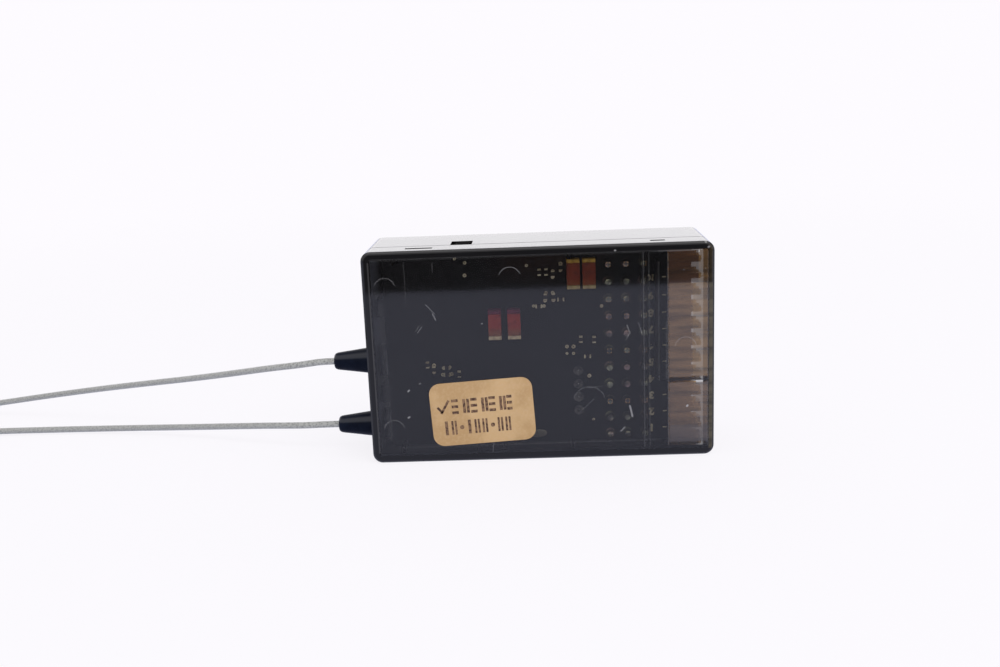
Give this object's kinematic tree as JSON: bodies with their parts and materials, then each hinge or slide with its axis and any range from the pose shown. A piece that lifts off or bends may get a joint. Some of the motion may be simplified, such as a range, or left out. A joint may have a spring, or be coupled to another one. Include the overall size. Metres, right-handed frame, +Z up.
{
  "type": "rc receiver",
  "caption": "small radio control receiver in a smoke tinted case with a column of servo sockets at one end and two thin coaxial antennas in rubber boots at the other",
  "frame": {"origin": "the middle of the long narrow side that the receiver stands on", "axes": "X along the case towards the servo sockets, Y away from the viewer, through the thin case, Z up"},
  "size_m": [0.1479, 0.0329, 0.0312],
  "materials": {
    "case_plastic": "smooth smoke tinted clear plastic",
    "circuit_board": "solder resist over glass fibre",
    "contact_gold": "gold plated",
    "header_plastic": "fine moulded",
    "solder": "shiny solder",
    "capacitor_ceramic": "smooth",
    "chip_ceramic": "matt",
    "package_black": "fine moulded",
    "tin_plate": "satin",
    "lamp_lens": "clear",
    "switch_body": "fine moulded",
    "button_plastic": "satin",
    "sticker_paper": "uncoated",
    "boot_rubber": "satin",
    "coax_jacket": "clear jacket over fine silver braid",
    "tip_jacket": "smooth",
    "tie_plastic": "satin"
  },
  "bodies": {
    "receiver": {"rear_cover": "case_plastic", "main_housing": "case_plastic", "main_board": "circuit_board", "signal_pins": "contact_gold", "power_pins": "contact_gold", "ground_pins": "contact_gold", "upper_header_block": "header_plastic", "lower_header_block": "header_plastic", "pin_solder_joints": "solder", "upper_capacitor_bodies": "capacitor_ceramic", "lower_capacitor_bodies": "capacitor_ceramic", "upper_capacitor_ends": "solder", "lower_capacitor_ends": "solder", "front_chip_bodies": "chip_ceramic", "rear_chip_bodies": "chip_ceramic", "front_chip_ends": "solder", "rear_chip_ends": "solder", "microcontroller": "package_black", "microcontroller_legs": "solder", "radio_shield_can": "tin_plate", "radio_chip": "package_black", "antenna_switch_chip": "package_black", "crystal_can": "tin_plate", "voltage_regulator": "package_black", "regulator_legs": "solder", "status_light": "lamp_lens", "bind_switch_case": "switch_body", "inspection_sticker": "sticker_paper", "upper_antenna_boot": "boot_rubber", "upper_antenna_lead": "coax_jacket", "upper_lead_clip": "tin_plate", "upper_antenna_cable": "coax_jacket", "upper_antenna_coil": "coax_jacket", "upper_antenna_tip": "tip_jacket", "upper_coil_tie": "tie_plastic", "lower_antenna_boot": "boot_rubber", "lower_antenna_lead": "coax_jacket", "lower_lead_clip": "tin_plate", "lower_antenna_cable": "coax_jacket", "lower_antenna_coil": "coax_jacket", "lower_antenna_tip": "tip_jacket", "lower_coil_tie": "tie_plastic"},
    "button": {"bind_button": "button_plastic"}
  },
  "joints": [
    {"name": "bind_press", "type": "slide", "parent": "receiver", "child": "button", "axis": [0, 0, -1], "range_m": [0, 0.0003], "stiffness_N_per_m": 2000}
  ]
}
